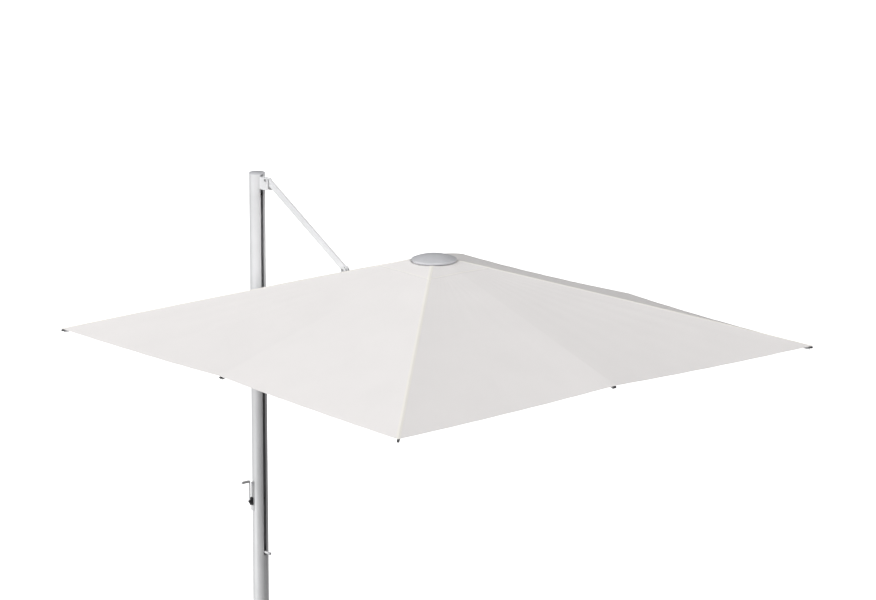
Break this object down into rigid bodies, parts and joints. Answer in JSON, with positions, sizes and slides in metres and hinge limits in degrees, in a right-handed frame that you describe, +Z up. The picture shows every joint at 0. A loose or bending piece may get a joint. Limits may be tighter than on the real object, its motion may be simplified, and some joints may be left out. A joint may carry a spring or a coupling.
{
  "type": "cantilever parasol",
  "caption": "Side-mast garden parasol whose square canopy hangs from a strut and a sliding boom, folding down beside the mast.",
  "frame": {"origin": "on the ground under the mast, at the middle of the base cross underside", "axes": "+X along the boom from the mast to the canopy centre, +Y to the left of that, +Z up"},
  "size_m": [3.6491, 3.0002, 3.041],
  "materials": {
    "anodised": "satin",
    "bright_steel": "satin",
    "grey_cap": "matte",
    "dark_plastic": "satin",
    "light_plastic": "satin",
    "canopy_cloth": "woven",
    "wire_rope": "satin",
    "coated_steel": "powder coated",
    "cast_weight": "coated",
    "casting": "matte"
  },
  "bodies": {
    "base": {"base_cross": "coated_steel", "weight_plate_1": "cast_weight", "weight_plate_2": "cast_weight", "weight_plate_3": "cast_weight", "weight_plate_4": "cast_weight", "base_socket": "coated_steel", "swivel_bearing": "dark_plastic"},
    "mast": {"mast": "anodised", "mast_cap": "grey_cap", "slot_cover": "light_plastic", "top_bracket": "anodised", "strut_top_pin": "bright_steel", "winch_plate": "anodised", "winch_housing": "dark_plastic", "hoist_rope": "wire_rope"},
    "pulley": {"top_pulley": "dark_plastic"},
    "crank": {"winch_drum": "bright_steel", "crank_arm": "anodised"},
    "grip": {"crank_grip": "light_plastic"},
    "lock": {"lock_pin": "bright_steel"},
    "strut": {"strut": "anodised"},
    "boom": {"boom": "anodised", "boom_heel": "casting", "strut_lug": "anodised", "strut_foot_pin": "bright_steel", "boom_fork": "casting", "hub_pin": "bright_steel"},
    "carriage": {"carriage": "dark_plastic", "carriage_pin": "bright_steel"},
    "roller_top": {"roller_upper": "light_plastic"},
    "roller_bottom": {"roller_lower": "light_plastic"},
    "hub": {"hub": "casting", "hub_post": "anodised", "hub_disc": "grey_cap", "canopy_crown": "canopy_cloth"},
    "runner": {"runner": "casting"},
    "rib_front": {"rib_front": "anodised", "canopy_front": "canopy_cloth"},
    "stretcher_front": {"stretcher_front": "anodised"},
    "rib_front_left": {"rib_front_left": "anodised", "canopy_front_left": "canopy_cloth"},
    "stretcher_front_left": {"stretcher_front_left": "anodised"},
    "rib_left": {"rib_left": "anodised", "canopy_left": "canopy_cloth"},
    "stretcher_left": {"stretcher_left": "anodised"},
    "rib_back_left": {"rib_back_left": "anodised", "canopy_back_left": "canopy_cloth"},
    "stretcher_back_left": {"stretcher_back_left": "anodised"},
    "rib_back_pair": {"rib_back_pair": "anodised", "canopy_back": "canopy_cloth"},
    "stretcher_back_pair": {"stretcher_back_pair": "anodised"},
    "rib_back_right": {"rib_back_right": "anodised", "canopy_back_right": "canopy_cloth"},
    "stretcher_back_right": {"stretcher_back_right": "anodised"},
    "rib_right": {"rib_right": "anodised", "canopy_right": "canopy_cloth"},
    "stretcher_right": {"stretcher_right": "anodised"},
    "rib_front_right": {"rib_front_right": "anodised", "canopy_front_right": "canopy_cloth"},
    "stretcher_front_right": {"stretcher_front_right": "anodised"}
  },
  "joints": [
    {"name": "mast_swivel", "type": "hinge", "parent": "base", "child": "mast", "pos_m": [0, 0, 0.2], "axis": [0, 0, 1], "range_deg": [-180, 180]},
    {"name": "strut_fold", "type": "hinge", "parent": "mast", "child": "strut", "pos_m": [0.105, 0, 3.01], "axis": [0, 1, 0], "range_deg": [0, 58], "deforming": ["canopy_front", "canopy_front_left", "canopy_left", "canopy_back_left", "canopy_back", "canopy_back_right", "canopy_right", "canopy_front_right"]},
    {"name": "boom_pivot", "type": "hinge", "parent": "strut", "child": "boom", "pos_m": [0.832, 0, 2.597], "axis": [0, 1, 0], "range_deg": [-118, 2]},
    {"name": "carriage_pivot", "type": "hinge", "parent": "boom", "child": "carriage", "pos_m": [0.105, 0, 2.184], "axis": [0, 1, 0], "range_deg": [-1, 59]},
    {"name": "hub_pivot", "type": "hinge", "parent": "boom", "child": "hub", "pos_m": [1.629, 0, 2.66], "axis": [0, 1, 0], "range_deg": [-1, 59]},
    {"name": "crank_turn", "type": "hinge", "parent": "mast", "child": "crank", "pos_m": [-0.01, 0, 1.018], "axis": [0, 1, 0], "range_deg": [-5, 2552]},
    {"name": "pulley_turn", "type": "hinge", "parent": "mast", "child": "pulley", "pos_m": [-0.01, 0, 2.9], "axis": [0, 1, 0], "range_deg": [-5, 2552]},
    {"name": "grip_spin", "type": "hinge", "parent": "crank", "child": "grip", "pos_m": [-0.01, -0.101, 1.144], "axis": [0, 1, 0], "continuous": true},
    {"name": "lock_pull", "type": "slide", "parent": "mast", "child": "lock", "axis": [1, 0, 0], "range_m": [0, 0.015]},
    {"name": "roller_top_spin", "type": "hinge", "parent": "carriage", "child": "roller_top", "pos_m": [0.027, 0, 2.236], "axis": [0, 1, 0], "range_deg": [-4039, 5]},
    {"name": "roller_bottom_spin", "type": "hinge", "parent": "carriage", "child": "roller_bottom", "pos_m": [0.027, 0, 2.132], "axis": [0, 1, 0], "range_deg": [-4039, 5]},
    {"name": "rib_front_fold", "type": "hinge", "parent": "hub", "child": "rib_front", "pos_m": [1.729, 0, 2.75], "axis": [0, 1, 0], "range_deg": [-1, 70.34]},
    {"name": "stretcher_front_fold", "type": "hinge", "parent": "rib_front", "child": "stretcher_front", "pos_m": [2.07388, 0, 2.64677], "axis": [0, 1, 0], "range_deg": [-140.67, 2]},
    {"name": "rib_front_left_fold", "type": "hinge", "parent": "hub", "child": "rib_front_left", "pos_m": [1.69971, 0.07071, 2.75], "axis": [-0.7071, 0.7071, 0], "range_deg": [-1, 73.4]},
    {"name": "stretcher_front_left_fold", "type": "hinge", "parent": "rib_front_left", "child": "stretcher_front_left", "pos_m": [1.92665, 0.29765, 2.67829], "axis": [-0.7071, 0.7071, 0], "range_deg": [-146.81, 2]},
    {"name": "rib_left_fold", "type": "hinge", "parent": "hub", "child": "rib_left", "pos_m": [1.629, 0.1, 2.75], "axis": [-1, 0, 0], "range_deg": [-1, 70.34]},
    {"name": "stretcher_left_fold", "type": "hinge", "parent": "rib_left", "child": "stretcher_left", "pos_m": [1.629, 0.44488, 2.64677], "axis": [-1, 0, 0], "range_deg": [-140.67, 2]},
    {"name": "rib_back_left_fold", "type": "hinge", "parent": "hub", "child": "rib_back_left", "pos_m": [1.55829, 0.07071, 2.75], "axis": [-0.7071, -0.7071, 0], "range_deg": [-1, 73.4]},
    {"name": "stretcher_back_left_fold", "type": "hinge", "parent": "rib_back_left", "child": "stretcher_back_left", "pos_m": [1.33135, 0.29765, 2.67829], "axis": [-0.7071, -0.7071, 0], "range_deg": [-146.81, 2]},
    {"name": "rib_back_pair_fold", "type": "hinge", "parent": "hub", "child": "rib_back_pair", "pos_m": [1.529, 0, 2.75], "axis": [0, -1, 0], "range_deg": [-1, 70.34]},
    {"name": "stretcher_back_pair_fold", "type": "hinge", "parent": "rib_back_pair", "child": "stretcher_back_pair", "pos_m": [1.18412, 0, 2.64677], "axis": [0, -1, 0], "range_deg": [-140.67, 2]},
    {"name": "rib_back_right_fold", "type": "hinge", "parent": "hub", "child": "rib_back_right", "pos_m": [1.55829, -0.07071, 2.75], "axis": [0.7071, -0.7071, 0], "range_deg": [-1, 73.4]},
    {"name": "stretcher_back_right_fold", "type": "hinge", "parent": "rib_back_right", "child": "stretcher_back_right", "pos_m": [1.33135, -0.29765, 2.67829], "axis": [0.7071, -0.7071, 0], "range_deg": [-146.81, 2]},
    {"name": "rib_right_fold", "type": "hinge", "parent": "hub", "child": "rib_right", "pos_m": [1.629, -0.1, 2.75], "axis": [1, 0, 0], "range_deg": [-1, 70.34]},
    {"name": "stretcher_right_fold", "type": "hinge", "parent": "rib_right", "child": "stretcher_right", "pos_m": [1.629, -0.44488, 2.64677], "axis": [1, 0, 0], "range_deg": [-140.67, 2]},
    {"name": "rib_front_right_fold", "type": "hinge", "parent": "hub", "child": "rib_front_right", "pos_m": [1.69971, -0.07071, 2.75], "axis": [0.7071, 0.7071, 0], "range_deg": [-1, 73.4]},
    {"name": "stretcher_front_right_fold", "type": "hinge", "parent": "rib_front_right", "child": "stretcher_front_right", "pos_m": [1.92665, -0.29765, 2.67829], "axis": [0.7071, 0.7071, 0], "range_deg": [-146.81, 2]},
    {"name": "runner_slide_turn", "type": "hinge", "parent": "stretcher_front", "child": "runner", "pos_m": [1.729, 0, 2.54353], "axis": [0, 1, 0], "range_deg": [-1, 70.34]}
  ],
  "couplings": [
    {"joint": "boom_pivot", "follows": "strut_fold", "ratio": -2},
    {"joint": "carriage_pivot", "follows": "strut_fold", "ratio": 1},
    {"joint": "hub_pivot", "follows": "strut_fold", "ratio": 1},
    {"joint": "crank_turn", "follows": "strut_fold", "ratio": 43.922},
    {"joint": "pulley_turn", "follows": "strut_fold", "ratio": 43.922},
    {"joint": "roller_top_spin", "follows": "strut_fold", "ratio": -69.543},
    {"joint": "roller_bottom_spin", "follows": "strut_fold", "ratio": -69.543},
    {"joint": "rib_front_fold", "follows": "strut_fold", "ratio": 1.1954},
    {"joint": "stretcher_front_fold", "follows": "strut_fold", "ratio": -2.3909},
    {"joint": "rib_front_left_fold", "follows": "strut_fold", "ratio": 1.2484},
    {"joint": "stretcher_front_left_fold", "follows": "strut_fold", "ratio": -2.4967},
    {"joint": "rib_left_fold", "follows": "strut_fold", "ratio": 1.1954},
    {"joint": "stretcher_left_fold", "follows": "strut_fold", "ratio": -2.3909},
    {"joint": "rib_back_left_fold", "follows": "strut_fold", "ratio": 1.2484},
    {"joint": "stretcher_back_left_fold", "follows": "strut_fold", "ratio": -2.4967},
    {"joint": "rib_back_pair_fold", "follows": "strut_fold", "ratio": 1.1954},
    {"joint": "stretcher_back_pair_fold", "follows": "strut_fold", "ratio": -2.3909},
    {"joint": "rib_back_right_fold", "follows": "strut_fold", "ratio": 1.2484},
    {"joint": "stretcher_back_right_fold", "follows": "strut_fold", "ratio": -2.4967},
    {"joint": "rib_right_fold", "follows": "strut_fold", "ratio": 1.1954},
    {"joint": "stretcher_right_fold", "follows": "strut_fold", "ratio": -2.3909},
    {"joint": "rib_front_right_fold", "follows": "strut_fold", "ratio": 1.2484},
    {"joint": "stretcher_front_right_fold", "follows": "strut_fold", "ratio": -2.4967},
    {"joint": "runner_slide_turn", "follows": "strut_fold", "ratio": 1.1954}
  ]
}
